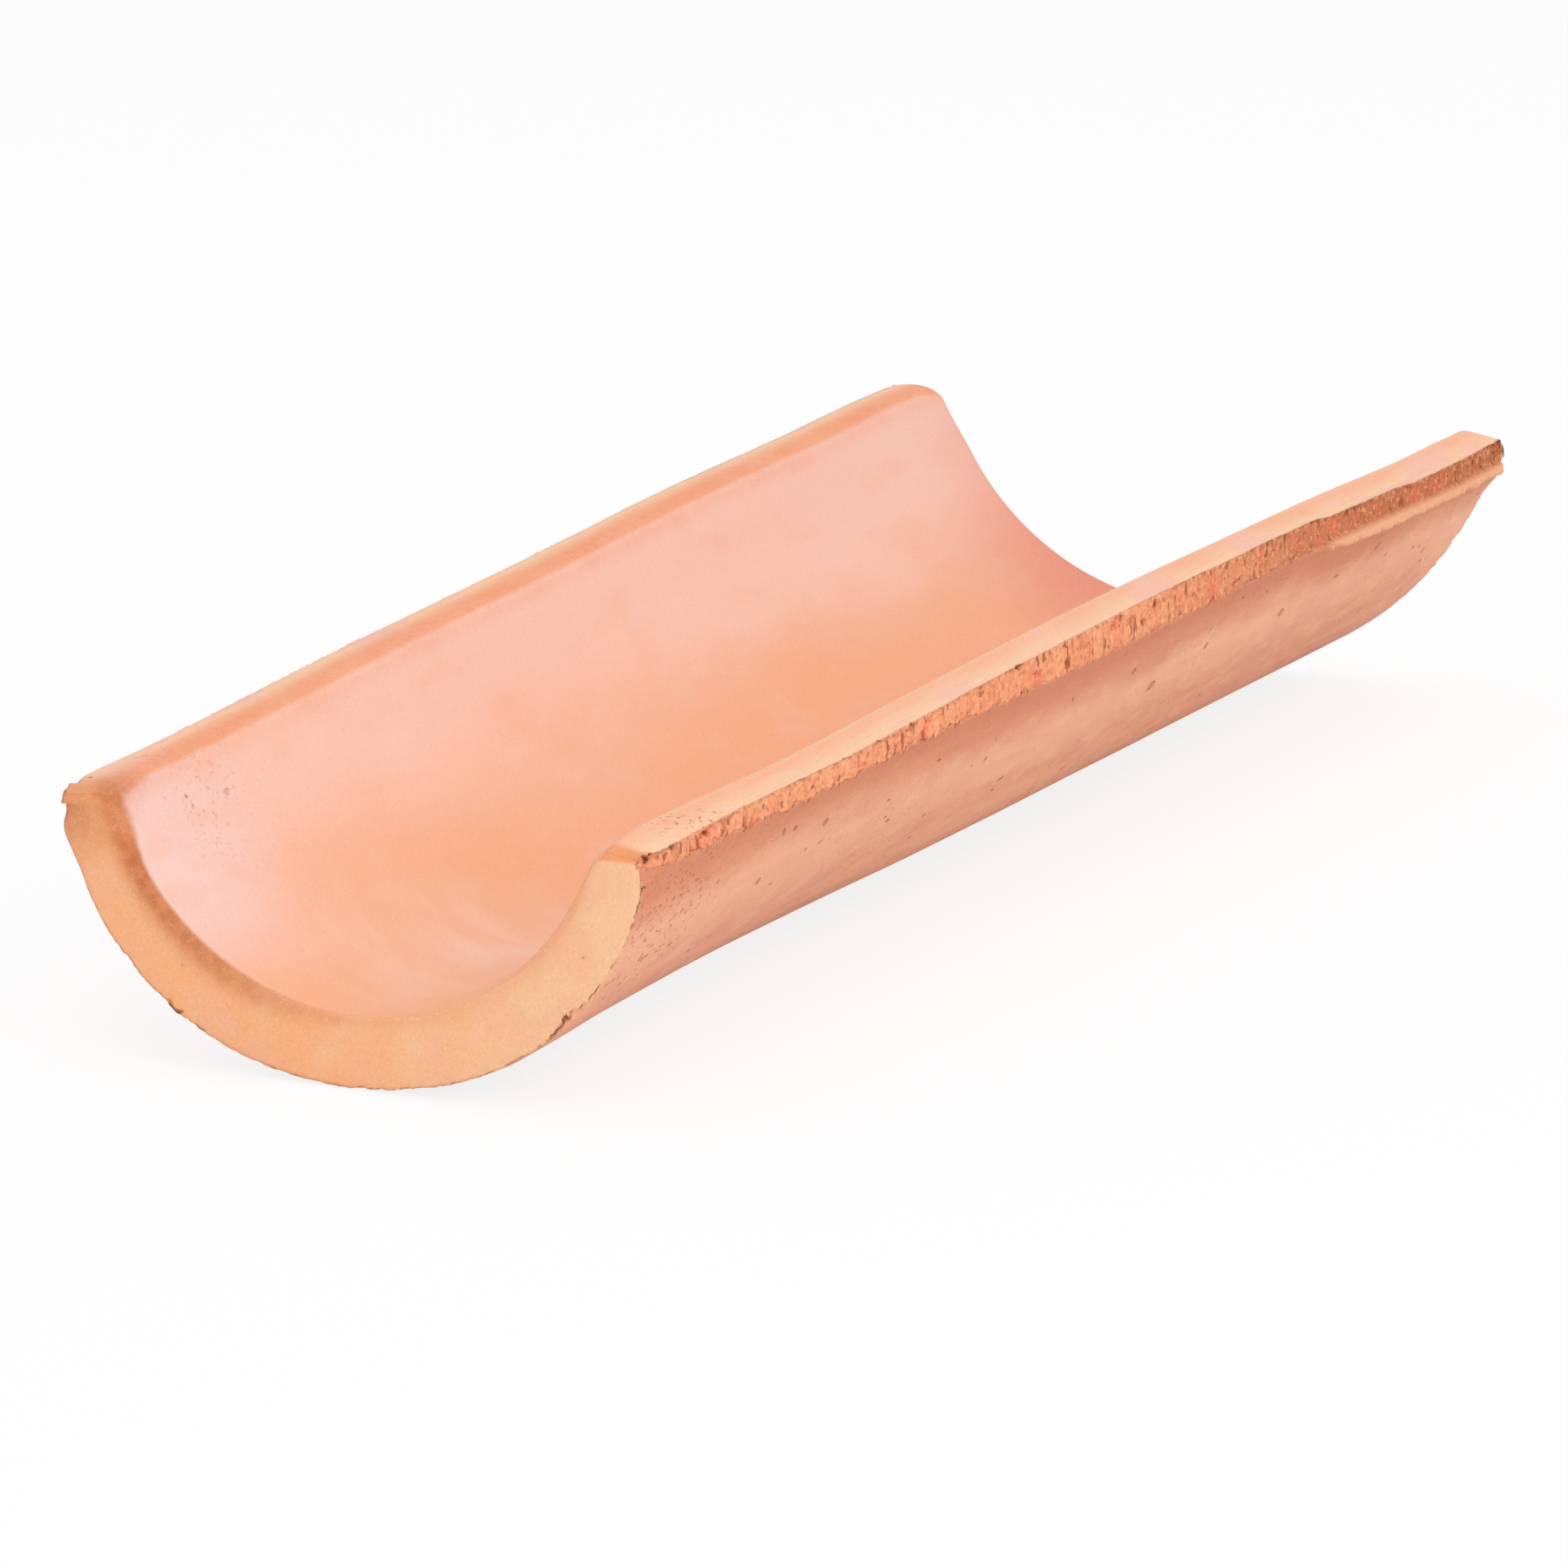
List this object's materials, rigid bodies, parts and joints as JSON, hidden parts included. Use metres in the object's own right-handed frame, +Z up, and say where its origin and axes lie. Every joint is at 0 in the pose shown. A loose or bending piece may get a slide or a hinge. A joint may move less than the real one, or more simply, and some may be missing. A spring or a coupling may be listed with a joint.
{
  "type": "clay roof tile",
  "caption": "Tapered half-round clay roof tile lying hollow side up, with a thick curved wall, trimmed rims and softly rounded inner edges.",
  "frame": {"origin": "on the bottom line that the tile rests on, half way along its length", "axes": "+Y along the tile from the narrow end to the wide end, +X across it, +Z up out of the hollow"},
  "size_m": [0.152, 0.4, 0.0615],
  "materials": {
    "fired_clay": "unglazed fired clay, pale pink and orange, smoothed by hand inside, slightly rough outside"
  },
  "bodies": {
    "root": {"clay_tile": "fired_clay"}
  },
  "joints": []
}
